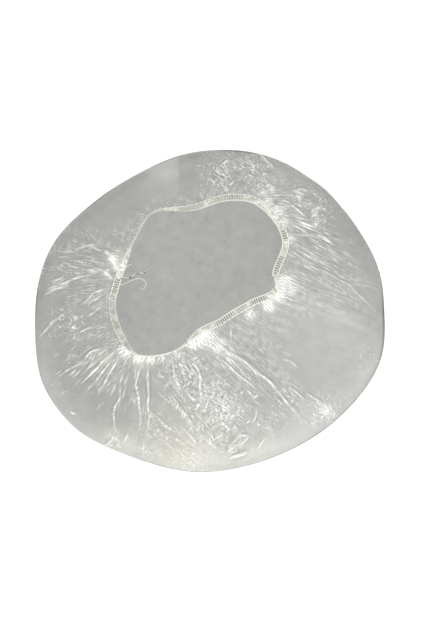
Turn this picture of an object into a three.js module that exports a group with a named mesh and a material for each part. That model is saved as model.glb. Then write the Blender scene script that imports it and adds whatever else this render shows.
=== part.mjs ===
// A disposable shower cap of clear film, lying on its crown with its gathered opening upwards.
// Millimetres, +Z up. The origin is under the cap, on the surface it lies on, at the middle of its outline.
import * as THREE from "three";

// Outline of the lying cap, and of the middle line of the hem round its opening
const CAP_LENGTH = 290;
const CAP_WIDTH = 267;
const OPENING_LENGTH = 142;
const OPENING_WIDTH = 130.5;
const OPENING_X = -9;
const OPENING_Y = 28;

// Heights above the surface, and how far in from the rim the flat crown ends
const RIM_HEIGHT = 14;
const HEM_HEIGHT = 31;
const RIM_ROLL = 20;

// Film. Its wall is far thicker than the real film, so that it is a solid
const FILM_WALL = 0.6;
const PLEAT_COUNT = 44;
const PLEAT_DEPTH = 3.2;
const PLEAT_DEPTH_AT_HEM = 0.35;
const PLEAT_UNEVENNESS = 0.25; // share of its depth that a pleat loses or gains by its place round the hem
const UNEVEN_WAVES = 3; // how often the pleats go from deep to shallow and back
const PLEAT_HOLD = 8; // power that keeps pleats deep until they are close to the seam
const SHOULDER_POWER = 2.5; // how soon the film levels out on its way from the rim to the hem

// Elastic and the overlock seam that holds it to the film's edge
const ELASTIC_WIDTH = 3.4;
const ELASTIC_THICKNESS = 0.6;
const SPLICE_LENGTH = 14;
const SPLICE_PLACE = 0.478; // share of the hem's length, from the first point of its outline
const SEAM_WIDTH = 4.8;
const BAR_PITCH = 2;
const THREAD_DIAMETER = 0.5;
const CHAIN_DIAMETER = 0.8;
const LOOSE_END_DIAMETER = 0.5;
const CLEARANCE = 0.3;

// Steps along the curved pieces, and the shares of the way from the rim to the hem where the film bends
const FILM_CLIMBS = [0, 0.1, 0.3, 0.6, 0.86, 1];
const OUTLINE_STEPS = 40; // for each point of an outline
const HEM_DIVISIONS = 2000;
const SLOPE_STEP = 1e-3; // of an outline's parameter
const SHARPEST_MITRE = 0.3; // cosine of the sharpest turn that a thread's section is widened for
const RIM_STEPS = 4;
const ELASTIC_STEPS = 110;
const NEEDLE_STEPS = 110;
const SPLICE_STEPS = 4;
const TAIL_SIDES = 8;
const TAIL_STEPS = 14;

// Matching points of the two outlines, in shares of half their length and width. The film runs from each
// point of the rim to its match on the hem. They go round anticlockwise from the right.
const RIM_SHAPE = [
  [0.96, 0.285], [0.795, 0.59], [0.615, 0.785], [0.405, 0.925], [0.17, 0.99], [-0.15, 0.965],
  [-0.445, 0.825], [-0.67, 0.665], [-0.88, 0.44], [-0.975, 0.2], [-1, -0.11], [-0.955, -0.45],
  [-0.76, -0.73], [-0.435, -0.905], [-0.06, -0.995], [0.35, -0.91], [0.72, -0.68], [0.975, -0.32],
  [1, 0.04],
];
const HEM_SHAPE = [
  [0.885, 0.05], [1, 0.435], [0.885, 0.735], [0.625, 0.97], [0.3, 0.995], [-0.06, 0.875],
  [-0.535, 0.81], [-0.71, 0.54], [-0.84, 0.24], [-0.935, -0.03], [-1, -0.36], [-0.91, -0.715],
  [-0.715, -0.975], [-0.295, -0.94], [0.02, -0.68], [0.25, -0.56], [0.405, -0.45], [0.63, -0.315],
  [0.875, -0.185],
];

// Routes of the two thread ends that hang free inside the opening, from the splice, and how far each point
// rises above the middle of the elastic.
const CHAIN_ROUTE = [[-73.1, 26.5], [-71, 26.7], [-66, 27], [-60, 30.5], [-55, 31], [-51.5, 34]];
const CHAIN_RISE = [0, 0, 0.8, -2.5, -8, -14];
const LOOSE_ROUTE = [
  [-73.6, 21.5], [-71.5, 21.8], [-64, 25], [-57, 26.5], [-52.5, 22.5], [-55, 18], [-58.5, 19],
];
const LOOSE_RISE = [0, 0, 1.5, -1, -5, -9, -12];

// Heights of the layers of the seam, worked up and down from the film at the hem
const THREAD_RADIUS = THREAD_DIAMETER / 2;
const ELASTIC_BOTTOM = HEM_HEIGHT + PLEAT_DEPTH_AT_HEM + CLEARANCE;
const ELASTIC_TOP = ELASTIC_BOTTOM + ELASTIC_THICKNESS;
const NEEDLE_Z = ELASTIC_BOTTOM + THREAD_RADIUS;
const UPPER_Z = ELASTIC_TOP + CLEARANCE + THREAD_RADIUS;
const LOWER_Z = HEM_HEIGHT - FILM_WALL - PLEAT_DEPTH_AT_HEM - CLEARANCE - THREAD_RADIUS;

const FILM = { color: 0xbcbcb6, roughness: 0.25, metalness: 0, transparent: true, opacity: 0.6 };
const ELASTIC = { color: 0xe9e5da, roughness: 0.8, metalness: 0 };
const THREAD = { color: 0xf4f2ea, roughness: 0.7, metalness: 0 };

// A smooth closed outline through a shape's points, spanning exactly a length and a width about a centre.
function outline(shape, length, width, x, y) {
  const through = (points) => new THREE.CatmullRomCurve3(points, true);
  const plain = shape.map(([px, py]) => new THREE.Vector3(px, py, 0));
  const box = new THREE.Box3().setFromPoints(through(plain).getPoints(OUTLINE_STEPS * shape.length));
  const size = box.getSize(new THREE.Vector3());
  const middle = box.getCenter(new THREE.Vector3());
  const fitted = plain.map((point) => {
    const share = point.clone().sub(middle);
    return new THREE.Vector3(x + (share.x / size.x) * length, y + (share.y / size.y) * width, 0);
  });
  return through(fitted);
}

// The unit vector square to a curve at t, pointing away from what the curve goes round.
function outwards(tangent) {
  return new THREE.Vector3(tangent.y, -tangent.x, 0).normalize();
}

const rim = outline(RIM_SHAPE, CAP_LENGTH, CAP_WIDTH, 0, 0);
const hem = outline(HEM_SHAPE, OPENING_LENGTH, OPENING_WIDTH, OPENING_X, OPENING_Y);
hem.arcLengthDivisions = HEM_DIVISIONS;
const HEM_LENGTH = hem.getLength();

// A point of an outline at its parameter t, which wraps round, moved out by a distance, at a height.
function beside(curve, t, out, z) {
  const turn = t - Math.floor(t);
  return curve.getPoint(turn).addScaledVector(outwards(curve.getTangent(turn)), out).setZ(z);
}

// A point of the hem at a share of its length, moved out by a distance, at a height.
function onHem(share, out, z) {
  return beside(hem, hem.getUtoTmapping(share - Math.floor(share)), out, z);
}

// A closed surface over rings of equally many points. The rings form a loop, or the first and last are capped
// by fans about their middles. From the point crossedFrom of the rings on, each four-sided face is split
// along its other diagonal.
function skin(rings, looped, crossedFrom = Infinity) {
  const count = rings[0].length;
  const positions = rings.flat().flatMap((p) => [p.x, p.y, p.z]);
  const faces = [];
  const bands = looped ? rings.length : rings.length - 1;
  for (let band = 0; band < bands; band++) {
    const here = band * count;
    const next = ((band + 1) % rings.length) * count;
    for (let k = 0; k < count; k++) {
      const side = (k + 1) % count;
      if (k < crossedFrom) {
        faces.push(here + k, here + side, next + side, here + k, next + side, next + k);
      } else {
        faces.push(here + k, here + side, next + k, here + side, next + side, next + k);
      }
    }
  }
  if (!looped) {
    for (const [ring, flip] of [[0, true], [rings.length - 1, false]]) {
      const total = rings[ring].reduce((sum, p) => sum.add(p), new THREE.Vector3());
      const middle = total.divideScalar(count);
      const tip = positions.length / 3;
      positions.push(middle.x, middle.y, middle.z);
      for (let k = 0; k < count; k++) {
        const a = ring * count + k;
        const b = ring * count + ((k + 1) % count);
        faces.push(tip, flip ? b : a, flip ? a : b);
      }
    }
  }
  const geometry = new THREE.BufferGeometry();
  geometry.setAttribute("position", new THREE.Float32BufferAttribute(positions, 3));
  geometry.setIndex(faces);
  geometry.computeVertexNormals();
  return geometry;
}

// The film's columns: one up and one down for each pleat, at equal steps of the outlines' parameter.
const columns = Array.from({ length: 2 * PLEAT_COUNT }, (_, k) => k / (2 * PLEAT_COUNT));

// The flat crown and its rim, turned up through a quarter of an ellipse: a dish with an outer and an inner
// face.
function crownGeometry() {
  const turns = Array.from({ length: RIM_STEPS + 1 }, (_, k) => (k / RIM_STEPS) * (Math.PI / 2));
  const ring = (turn, wall) => {
    const inset = wall + (RIM_ROLL - wall) * (1 - Math.sin(turn));
    const height = wall + (RIM_HEIGHT - wall) * (1 - Math.cos(turn));
    return columns.map((t) => beside(rim, t, -inset, height));
  };
  const outer = turns.map((turn) => ring(turn, 0));
  const inner = turns.map((turn) => ring(turn, FILM_WALL)).reverse();
  return skin([...outer, ...inner], false);
}

// The film's smooth shape from the rim (climb 0) over the shoulder to the hem's outer edge (climb 1).
function shoulder(t, climb) {
  const start = beside(rim, t, 0, RIM_HEIGHT + CLEARANCE);
  const end = beside(hem, t, SEAM_WIDTH / 2, HEM_HEIGHT);
  const inward = climb * climb * (2 - climb);
  const rise = 1 - (1 - climb) ** SHOULDER_POWER;
  const point = start.clone().lerp(end, inward);
  return point.setZ(start.z + (end.z - start.z) * rise);
}

// The way out of the film's smooth shape, from its slopes along the hem and up to it.
function shoulderNormal(t, climb) {
  const low = Math.min(climb, 1 - SLOPE_STEP);
  const along = shoulder(t + SLOPE_STEP, low).sub(shoulder(t - SLOPE_STEP, low));
  const up = shoulder(t, low + SLOPE_STEP).sub(shoulder(t, low));
  return along.cross(up).normalize();
}

// How far a pleat stands out at a climb: deeper towards the hem, where the seam holds it flat.
function pleatDepth(t, climb) {
  const uneven = 1 - PLEAT_UNEVENNESS + PLEAT_UNEVENNESS * Math.sin(2 * Math.PI * UNEVEN_WAVES * t);
  return PLEAT_DEPTH * uneven * climb * (1 - climb ** PLEAT_HOLD) + PLEAT_DEPTH_AT_HEM * climb;
}

// The gathered film: columns stand out and sink in by turns. Each ring goes up the inside, round the film's
// edge under the elastic and down the outside, and both sides are split along the same diagonals.
function gathersGeometry() {
  const rings = columns.map((t, k) => {
    const way = k % 2 ? 1 : -1;
    const outer = FILM_CLIMBS.map((climb) =>
      shoulder(t, climb).addScaledVector(shoulderNormal(t, climb), way * pleatDepth(t, climb)),
    );
    const inner = outer.map((point, i) =>
      point.clone().addScaledVector(shoulderNormal(t, FILM_CLIMBS[i]), -FILM_WALL),
    );
    inner[0].setZ(outer[0].z);
    const edge = beside(hem, t, -ELASTIC_WIDTH / 2, HEM_HEIGHT + way * PLEAT_DEPTH_AT_HEM);
    const under = edge.clone().setZ(edge.z - FILM_WALL);
    return [...inner, under, edge, ...outer.reverse()];
  });
  return skin(rings, true, FILM_CLIMBS.length + 1);
}

// A flat strip of elastic along the hem between two shares of its length.
function stripGeometry(from, to, steps) {
  const half = ELASTIC_WIDTH / 2;
  const rings = Array.from({ length: steps + 1 }, (_, k) => {
    const share = from + ((to - from) * k) / steps;
    return [
      onHem(share, half, ELASTIC_BOTTOM),
      onHem(share, -half, ELASTIC_BOTTOM),
      onHem(share, -half, ELASTIC_TOP),
      onHem(share, half, ELASTIC_TOP),
    ];
  });
  return skin(rings, false);
}

// A thread along a closed level path, its section a triangle that is mitred at each corner.
function threadGeometry(path) {
  const rings = path.map((point, k) => {
    const before = path[(k + path.length - 1) % path.length];
    const after = path[(k + 1) % path.length];
    const arriving = point.clone().sub(before).normalize();
    const leaving = after.clone().sub(point).normalize();
    const side = outwards(arriving.clone().add(leaving));
    const widened = 1 / Math.max(side.dot(outwards(arriving)), SHARPEST_MITRE);
    return [90, 210, 330].map((degrees) => {
      const angle = THREE.MathUtils.degToRad(degrees);
      const across = THREAD_RADIUS * widened * Math.cos(angle);
      const z = point.z + THREAD_RADIUS * Math.sin(angle);
      return point.clone().addScaledVector(side, -across).setZ(z);
    });
  });
  return skin(rings, true);
}

// The looper threads: bars across the seam, joined by turns along its inner and its outer edge.
function looperGeometry(z, shift) {
  const bars = 2 * Math.round(HEM_LENGTH / (2 * BAR_PITCH));
  const path = [];
  for (let bar = 0; bar < bars; bar++) {
    const share = (bar + shift) / bars;
    const inner = onHem(share, -SEAM_WIDTH / 2, z);
    const outer = onHem(share, SEAM_WIDTH / 2, z);
    path.push(...(bar % 2 ? [outer, inner] : [inner, outer]));
  }
  return threadGeometry(path);
}

// The needle thread: a line along the hem outside the elastic, under the upper looper's outer turns.
function needleGeometry() {
  const shares = Array.from({ length: NEEDLE_STEPS }, (_, k) => k / NEEDLE_STEPS);
  return threadGeometry(shares.map((share) => onHem(share, SEAM_WIDTH / 2, NEEDLE_Z)));
}

// A free thread end: a round tube along a smooth route.
function tailGeometry(route, rise, diameter) {
  const level = ELASTIC_BOTTOM + ELASTIC_THICKNESS / 2;
  const points = route.map(([x, y], k) => new THREE.Vector3(x, y, level + rise[k]));
  const path = new THREE.CatmullRomCurve3(points);
  const section = new THREE.Shape(
    Array.from({ length: TAIL_SIDES }, (_, k) => {
      const angle = (k / TAIL_SIDES) * 2 * Math.PI;
      return new THREE.Vector2(Math.cos(angle), Math.sin(angle)).multiplyScalar(diameter / 2);
    }),
  );
  return new THREE.ExtrudeGeometry(section, { steps: TAIL_STEPS, extrudePath: path });
}

function piece(name, geometry, look) {
  const mesh = new THREE.Mesh(geometry, new THREE.MeshStandardMaterial(look));
  mesh.name = name;
  return mesh;
}

// Where the splice begins and ends along the hem, and where the rest of the elastic does
const spliceReach = SPLICE_LENGTH / 2 / HEM_LENGTH;
const bandReach = spliceReach + CLEARANCE / HEM_LENGTH;
const spliceStrip = stripGeometry(SPLICE_PLACE - spliceReach, SPLICE_PLACE + spliceReach, SPLICE_STEPS);
const bandStrip = stripGeometry(SPLICE_PLACE + bandReach, SPLICE_PLACE + 1 - bandReach, ELASTIC_STEPS);

const crown = new THREE.Group();
crown.add(piece("film_crown", crownGeometry(), FILM));

const gatheredHem = new THREE.Group();
gatheredHem.add(
  piece("film_gathers", gathersGeometry(), FILM),
  piece("elastic_band", bandStrip, ELASTIC),
  piece("needle_thread", needleGeometry(), THREAD),
  piece("upper_looper_thread", looperGeometry(UPPER_Z, 0), THREAD),
  piece("lower_looper_thread", looperGeometry(LOWER_Z, 0.5), THREAD),
);

const splice = new THREE.Group();
splice.add(
  piece("elastic_splice", spliceStrip, ELASTIC),
  piece("chain_tail", tailGeometry(CHAIN_ROUTE, CHAIN_RISE, CHAIN_DIAMETER), THREAD),
  piece("loose_thread_end", tailGeometry(LOOSE_ROUTE, LOOSE_RISE, LOOSE_END_DIAMETER), THREAD),
);

const cap = new THREE.Group();
cap.add(crown, gatheredHem, splice);

export default cap;
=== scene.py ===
import bpy
import numpy as np
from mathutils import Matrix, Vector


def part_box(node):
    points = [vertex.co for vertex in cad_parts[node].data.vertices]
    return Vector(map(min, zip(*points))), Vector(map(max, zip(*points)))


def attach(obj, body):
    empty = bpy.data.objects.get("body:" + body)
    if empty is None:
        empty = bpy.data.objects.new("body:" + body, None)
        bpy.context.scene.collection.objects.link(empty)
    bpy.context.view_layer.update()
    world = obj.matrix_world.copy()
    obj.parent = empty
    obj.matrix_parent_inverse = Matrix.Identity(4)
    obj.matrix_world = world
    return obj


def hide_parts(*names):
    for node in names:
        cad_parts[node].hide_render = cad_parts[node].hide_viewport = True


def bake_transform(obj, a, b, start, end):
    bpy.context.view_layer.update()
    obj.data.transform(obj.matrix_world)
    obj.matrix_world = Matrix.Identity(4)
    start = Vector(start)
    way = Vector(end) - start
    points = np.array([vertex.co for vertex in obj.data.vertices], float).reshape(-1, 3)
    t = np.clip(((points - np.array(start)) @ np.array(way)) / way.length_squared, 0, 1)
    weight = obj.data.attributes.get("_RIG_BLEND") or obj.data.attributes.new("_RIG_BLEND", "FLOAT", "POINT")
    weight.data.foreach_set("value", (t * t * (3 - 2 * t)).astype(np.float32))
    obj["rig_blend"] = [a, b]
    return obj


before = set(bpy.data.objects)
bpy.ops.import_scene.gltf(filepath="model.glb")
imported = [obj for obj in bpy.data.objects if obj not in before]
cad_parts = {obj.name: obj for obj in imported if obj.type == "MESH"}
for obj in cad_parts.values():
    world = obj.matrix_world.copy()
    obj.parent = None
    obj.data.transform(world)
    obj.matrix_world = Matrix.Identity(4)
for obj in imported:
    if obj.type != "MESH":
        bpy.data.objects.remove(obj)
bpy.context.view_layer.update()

# A disposable shower cap of clear film, lying on its crown with its gathered opening upwards.
# Lengths are in metres. Places read off the photograph are in its pixels, in a frame of 421 by 631.
MM = 0.001
UPWARDS = np.array([0, 0, 1.0])

PHOTO_WIDTH = 421
PHOTO_HEIGHT = 631
PIXEL = 0.8286 * MM
CAP_MIDDLE_PIXEL = np.array([210.0, 311.0])

rim_low, rim_high = (np.array(corner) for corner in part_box("film_crown"))
band_low, band_high = (np.array(corner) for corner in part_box("elastic_band"))

# The film's shape. A slant is a place round the cap, its spread, and how far round the gathers lean there
RIM_Z = rim_high[2]
RIM_ROLL = 20 * MM
FILM_THICKNESS = 0.08 * MM
FILM_UNDER_SEAM = 0.35 * MM
SHOULDER_POWER = 2.5
GATHER_SLANTS = ((0.72, 0.09, 0.085), (0.085, 0.13, -0.105))
FILM_COLUMNS = 800
FILM_ROWS = 57
HEM_ROWS = 4
CROWN_COLUMNS = 420
FLAT_ROWS = 46
ROLL_ROWS = 18

# The film's wrinkles, with heights in millimetres. A crumple or a crown wave is a length, a height and a seed
SWELL_LENGTH = 60 * MM
SWELL_HEIGHT = 1.2
PLEAT_TURNS = (46, 92, 190)
WIDE_PLEAT = 1.3
MIDDLE_PLEAT = 0.8
HEM_PLEAT = 1.1
FINE_PLEAT = 0.7
CRUMPLES = ((11 * MM, 0.9, 31), (5.5 * MM, 0.5, 41))
BUNCH = 2.6
BUNCH_CRUMPLE = 0.8
HEM_RIPPLES = 110
HEM_RIPPLE = 0.2 * MM
CROWN_LIFT = 0.1
CROWN_WAVES = ((22 * MM, 0.2, 51), (9 * MM, 0.06, 52))
FOLD_SPREAD = 1.7
FOLD_LINE = 1.0 * MM
FOLD_SWAY = 0.4 * MM
FOLD_SWAY_LENGTH = 20 * MM
HOLLOW_SIDE = 1.6
HOLLOW_REACH = 0.9
HOLLOW_SHADE = 0.45
CREST_START = 150
CREST_FULL = 900

# The film's looks. Its lie is where streaks are drawn: the way round the cap, and the way along the gathers
FILM_GREY = "#949490"
CROWN_GREY = "#80807C"
# White of painted glints along creases and folds, partly stress whitening; it also lightens the film's mottle
GLINT_CREASE_AND_HAZE_WHITE = "#FFFFFB"
# Grey of painted shade, in the hollows beside folds and the low places of the creases
PAINTED_SHADE_GREY = "#70706B"
# Milky white: the gathered film's own, and also painted sheen of the light from below
MILK_AND_SHEEN_WHITE = "#F6F6F1"
CREAM = "#E6E5D2"
# Painted shade along the rim's fold, where the film turns edge-on: darkest on the far side, lighter on the
# near side
FAR_RIM_SHADE = "#1E1E1C"
NEAR_RIM_SHADE = "#5A5A56"
FAR_RIM_Y = 5 * MM
NEAR_RIM_Y = -75 * MM
CREASE_RAMP = 0.23
STREAK_SIZE = 1.6 * MM
CRUMPLE_SIZE = 1.6 * MM
CRUMPLE_STRETCH = 4.5
CRUMPLE_HEADINGS = (-42, 55)
LIE_RADIUS = 100 * MM
LIE_STRETCH = 9
LIE_SEAM = 0.905

# Elastic and hem. A roll is its place round the hem, spread and degrees. A wave is crests, millimetres, phase
ELASTIC_WIDTH = 3.4 * MM
ELASTIC_THICKNESS = band_high[2] - band_low[2]
STRIP_SIDES = 24
BAND_RINGS = 420
LAP_RINGS = 24
SPLICE_PLACE = 0.478
SPLICE_LENGTH = 14 * MM
LAP_SHARE = 0.75
LAP_GAP = 0.05 * MM
LAP_SKEW = 0.35 * MM
BASE_ROLL = 5
HEM_ROLLS = ((0.35, 0.08, 76), (0.665, 0.06, 80), (0.975, 0.02, 72))
HEM_WAVES = ((2, 1.1, 0.8), (3, 0.7, 2))
OUTLINE_STEPS = 2000
HEM_STEPS = 4000
HEM_STEP = 1e-4

# Seam threads. A looper's heights are where it crosses the seam and at the film's edge
SEAM_Z = band_low[2]
SEAM_WIDTH = 4.8 * MM
STITCH_PITCH = 2 * MM
THREAD_RADIUS = 0.24 * MM
THREAD_SIDES = 6
EDGE_BULK = 0.8
BAR_POINTS = 14
BAR_PAUSE = 0.85
BAR_SQUARENESS = 2.2
UPPER_LOOPER_HEIGHTS = (ELASTIC_THICKNESS + THREAD_RADIUS + 0.1 * MM, 0.1 * MM)
LOWER_LOOPER_HEIGHTS = (-0.75 * MM, -0.2 * MM)
STITCH_POINTS = 8
NEEDLE_OUT = 0.15 * MM
NEEDLE_LOW = 0.1 * MM
NEEDLE_RISE = 0.3 * MM
PLAIN_SHADE = 0.3
DULL_SHADE = 0.25
DULL_TAPE = 0.45

# Matching points of the rim and the hem, anticlockwise from the right, as shares of half the length and width
RIM_SHAPE = [
    [0.96, 0.285], [0.795, 0.59], [0.615, 0.785], [0.405, 0.925], [0.17, 0.99], [-0.15, 0.965],
    [-0.445, 0.825], [-0.67, 0.665], [-0.88, 0.44], [-0.975, 0.2], [-1, -0.11], [-0.955, -0.45],
    [-0.76, -0.73], [-0.435, -0.905], [-0.06, -0.995], [0.35, -0.91], [0.72, -0.68], [0.975, -0.32],
    [1, 0.04],
]
HEM_SHAPE = [
    [0.885, 0.05], [1, 0.435], [0.885, 0.735], [0.625, 0.97], [0.3, 0.995], [-0.06, 0.875],
    [-0.535, 0.81], [-0.71, 0.54], [-0.84, 0.24], [-0.935, -0.03], [-1, -0.36], [-0.91, -0.715],
    [-0.715, -0.975], [-0.295, -0.94], [0.02, -0.68], [0.25, -0.56], [0.405, -0.45], [0.63, -0.315],
    [0.875, -0.185],
]

# Thread ends, with their routes in millimetres
CHAIN_POINTS = 150
CHAIN_TWIST = 2.6 * MM
STRAND_OFFSET = 0.3 * MM
BEAD_LENGTH = 8 * MM
LOOSE_POINTS = 90
LOOSE_RADIUS = 0.25 * MM
LOOSE_SIDES = 8
LOOSE_SHADE = 0.28
STUB_POINTS = 24
CHAIN_ROUTE = [[-73.1, 26.5], [-71, 26.7], [-66, 27], [-60, 30.5], [-55, 31], [-51.5, 34]]
CHAIN_RISE = [0, 0, 0.8, -2.5, -8, -14]
LOOSE_ROUTE = [
    [-73.6, 21.5], [-71.5, 21.8], [-64, 25], [-57, 26.5], [-52.5, 22.5], [-55, 18], [-58.5, 19],
]
LOOSE_RISE = [0, 0, 1.5, -1, -5, -9, -12]
STUB_ROUTE = [[-76, 32.5], [-72.5, 34], [-68.5, 36.2], [-64.5, 38.4]]
STUB_RISE = [0.4, 0.6, -0.5, -3]

# Zones of the film and the seam in the photograph: middle across and down, radius, strength
STREAKED = (
    (84, 265, 38, 0.75), (80, 314, 24, 0.35), (93, 364, 32, 0.75), (131, 388, 28, 0.7),
    (226, 354, 22, 0.85), (251, 366, 30, 0.9), (290, 285, 24, 1.0), (312, 250, 34, 0.95),
    (332, 282, 28, 0.7), (280, 206, 28, 0.9), (230, 185, 26, 0.6), (302, 226, 24, 0.9), (345, 258, 20, 0.6),
)
CRUMPLED = (
    (214, 404, 42, 1.0), (229, 434, 24, 0.85), (186, 374, 30, 1.0), (157, 430, 25, 0.7),
    (285, 397, 22, 0.8), (325, 409, 18, 1.0), (226, 176, 27, 0.85), (262, 182, 22, 0.85),
    (316, 217, 20, 0.9), (70, 325, 25, 0.6), (190, 455, 30, 0.6), (248, 167, 17, 0.9), (300, 201, 18, 0.9),
    (362, 360, 13, 0.6), (112, 440, 12, 0.8), (150, 450, 14, 0.6), (268, 418, 18, 0.6), (250, 378, 16, 0.7),
    (175, 380, 18, 0.7),
)
BUNCHED = (
    (194, 340, 10, 1.0), (206, 338, 11, 1.0), (218, 346, 9, 0.9), (229, 352, 7, 0.6),
    (284, 284, 9, 1.0), (277, 295, 8, 1.0), (268, 305, 7, 0.9), (290, 289, 7, 0.8), (250, 314, 6, 0.7),
    (115, 258, 6, 0.7), (119, 267, 5, 0.7), (108, 273, 5, 0.5),
    (127, 350, 8, 0.9), (140, 357, 7, 0.9), (151, 358, 7, 0.7), (162, 356, 6, 0.5), (176, 353, 6, 0.5),
    (268, 203, 7, 0.6), (277, 212, 7, 0.7), (284, 222, 6, 0.6), (290, 240, 6, 0.5), (325, 409, 8, 0.6),
    (263, 193, 5, 0.6), (271, 190, 4, 0.6), (314, 225, 4, 0.5), (75, 327, 3, 0.6), (77, 318, 3, 0.55),
)
SMOOTH = (
    (105, 195, 46, 0.95), (150, 180, 34, 0.9), (166, 203, 19, 0.95), (322, 345, 44, 0.95),
    (303, 168, 20, 0.75), (360, 240, 18, 0.6),
)
# Zones where the film is lighter: painted sheen of the light from below, and milky haze
HAZE_AND_SHEEN = (
    (325, 345, 75, 0.22), (215, 425, 85, 0.18), (190, 462, 50, 0.1), (290, 440, 50, 0.22),
    (280, 190, 45, 0.09),
)
# The lapped film ends at one line up and down the photograph
LAPPED = ((164, 166, 19, 0.3),)
LAP_EDGE = 180.5
CREAMY = (
    (185, 460, 42, 0.6), (120, 448, 22, 0.4), (255, 460, 24, 0.3), (117, 262, 8, 0.6), (143, 356, 11, 0.5),
    (106, 358, 7, 0.5),
)
LADDER = (
    (231, 201, 34, 0.52), (286, 235, 7, 1.0), (279, 266, 11, 1.0), (257, 299, 10, 1.0), (224, 317, 22, 0.6),
    (118, 287, 9, 1.0), (115, 298, 6, 0.5), (192, 209, 22, 0.5),
    (146, 224, 26, 0.48), (252, 202, 8, 0.44), (240, 308, 16, 0.52), (209, 326, 9, 0.46), (285, 249, 8, 0.45),
    (266, 210, 12, 0.4),
)
DULL = (
    (226, 203, 26, 0.6), (190, 209, 24, 0.9), (154, 216, 24, 1.0), (138, 238, 18, 1.0), (114, 309, 13, 0.9),
    (119, 325, 15, 1.0), (126, 343, 12, 0.9),
)

# Folds in the photograph: height in millimetres, then points across and down
FOLDS = (
    (1.7, (204, 341), (220, 347), (240, 358), (252, 367), (271, 383), (285, 400), (301, 416)),
    (1.5, (209, 351), (234, 371), (247, 381), (258, 392)),
    (1.2, (212, 346), (228, 358), (249, 375)),
    (1.2, (276, 387), (285, 400), (294, 411)),
    (1.2, (287, 385), (295, 391), (303, 400)),
    (0.9, (280, 357), (289, 360), (297, 367)),
    (0.9, (305, 392), (322, 402)),
    (1.5, (149, 362), (149, 385), (149, 407), (148, 437)),
    (1.2, (138, 362), (136, 378), (140, 400), (141, 423)),
    (1.0, (144, 362), (139, 375), (136, 385), (140, 396)),
    (1.2, (121, 384), (120, 399), (114, 415), (117, 431)),
    (1.4, (121, 347), (104, 362), (90, 376), (81, 384)),
    (1.4, (122, 355), (110, 373), (104, 386), (98, 394)),
    (1.3, (108, 344), (94, 351), (82, 364)),
    (1.3, (99, 351), (95, 359), (90, 367)),
    (1.0, (84, 360), (73, 367), (59, 377)),
    (1.1, (115, 358), (101, 374), (93, 387)),
    (1.2, (99, 272), (83, 277), (65, 283), (48, 290)),
    (1.0, (70, 285), (58, 289), (45, 296)),
    (0.9, (65, 276), (53, 283)),
    (2.2, (104, 250), (112, 255), (118, 262)),
    (2.2, (109, 257), (116, 264), (120, 272)),
    (2.0, (102, 269), (109, 274), (115, 281)),
    (1.0, (103, 252), (91, 247)),
    (1.0, (99, 245), (88, 247), (76, 251)),
    (1.2, (115, 278), (104, 270), (92, 267)),
    (1.1, (108, 288), (95, 293), (84, 305)),
    (1.0, (108, 291), (98, 299), (88, 305)),
    (1.0, (68, 311), (53, 323), (40, 337)),
    (1.0, (94, 326), (80, 335)),
    (0.9, (103, 307), (90, 315)),
    (0.6, (288, 261), (308, 266), (326, 273), (347, 285), (363, 301), (381, 315)),
    (0.45, (289, 282), (309, 288), (330, 293), (353, 302)),
    (0.4, (346, 283), (380, 290)),
    (1.3, (312, 235), (323, 239), (335, 246)),
    (1.0, (292, 244), (305, 250), (318, 258)),
    (1.0, (290, 253), (300, 259), (312, 265)),
    (1.0, (289, 234), (307, 236), (323, 240)),
    (1.0, (286, 222), (299, 228), (310, 236)),
    (1.1, (276, 196), (291, 207), (307, 221)),
    (1.0, (288, 196), (299, 199), (311, 205)),
    (1.0, (290, 194), (300, 191), (307, 195)),
    (1.3, (259, 154), (266, 162), (273, 169)),
    (1.0, (217, 171), (230, 160)),
    (1.3, (151, 412), (161, 419), (170, 429)),
    (1.2, (163, 420), (176, 430)),
    (1.0, (158, 391), (181, 410), (197, 429)),
    (1.2, (183, 426), (197, 442)),
    (0.9, (168, 390), (184, 411), (203, 436)),
    (0.8, (174, 386), (190, 405)),
    (1.6, (206, 437), (216, 447)),
    (2.0, (226, 453), (239, 444)),
    (2.0, (229, 458), (248, 450)),
    (1.7, (249, 436), (240, 445)),
    (1.6, (238, 433), (248, 435)),
    (1.6, (239, 434), (233, 444)),
    (1.2, (226, 440), (229, 433)),
    (1.2, (217, 438), (223, 432)),
    (1.2, (210, 432), (214, 440)),
    (1.1, (246, 389), (252, 395)),
    (1.1, (252, 398), (258, 394)),
    (0.9, (222, 402), (226, 395)),
    (0.9, (256, 406), (255, 416), (251, 424)),
    (1.0, (234, 423), (238, 429)),
    (0.9, (256, 450), (266, 438)),
    (1.2, (190, 352), (200, 376), (202, 407)),
    (1.0, (172, 352), (175, 372), (183, 392)),
    (1.4, (254, 306), (246, 321)),
    (0.9, (232, 328), (230, 341)),
    (1.2, (106, 444), (115, 436)),
    (1.2, (73, 409), (79, 412)),
    (1.1, (125, 441), (129, 433)),
)


def spot(across, down):
    """The place on the plan of a pixel of the photograph, seen straight from above."""
    return (np.array([across, down]) - CAP_MIDDLE_PIXEL) * PIXEL * [1, -1]


def unit(vectors):
    """Vectors of length one."""
    return vectors / np.linalg.norm(vectors, axis=-1, keepdims=True)


def ease(value, start, end):
    """0 before start, 1 after end, and between them the cubic that is level at both."""
    share = np.clip((value - start) / (end - start), 0, 1)
    return share * share * (3 - 2 * share)


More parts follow.
